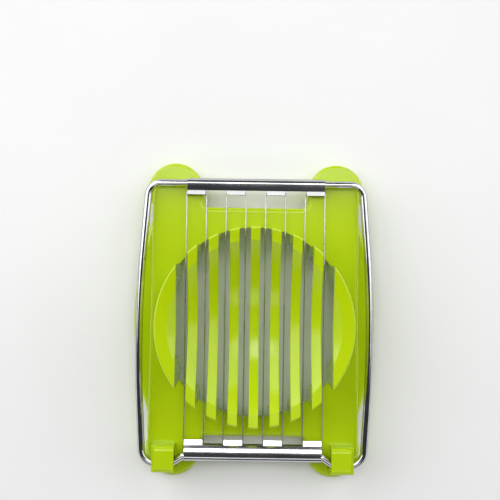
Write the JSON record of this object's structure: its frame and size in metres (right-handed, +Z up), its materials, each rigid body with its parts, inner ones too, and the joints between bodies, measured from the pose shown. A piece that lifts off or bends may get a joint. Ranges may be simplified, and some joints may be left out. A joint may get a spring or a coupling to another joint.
{
  "type": "egg slicer",
  "caption": "Egg slicer: a lime green moulded base with a slotted bowl on round feet, and a hinged chrome wire frame strung with thin cutting wire.",
  "frame": {"origin": "under the middle of the base, at the height of its feet", "axes": "+Z up; +Y from the hinge to the free end of the frame; +X to the right when the hinge end faces the viewer"},
  "size_m": [0.0786, 0.1018, 0.0289],
  "materials": {
    "lime_plastic": "glossy moulded plastic",
    "chrome_wire": "bright chrome plating",
    "chrome_sheet": "bright chrome plating on stamped sheet",
    "steel_wire": "drawn stainless wire"
  },
  "bodies": {
    "base": {"base": "lime_plastic"},
    "cutter": {"frame_wire": "chrome_wire", "free_end_comb": "chrome_sheet", "hinge_end_comb": "chrome_sheet", "cutting_wire": "steel_wire"}
  },
  "joints": [
    {"name": "frame_hinge", "type": "hinge", "parent": "base", "child": "cutter", "pos_m": [0, -0.0446, 0.013], "axis": [1, 0, 0], "range_deg": [0, 110]}
  ]
}
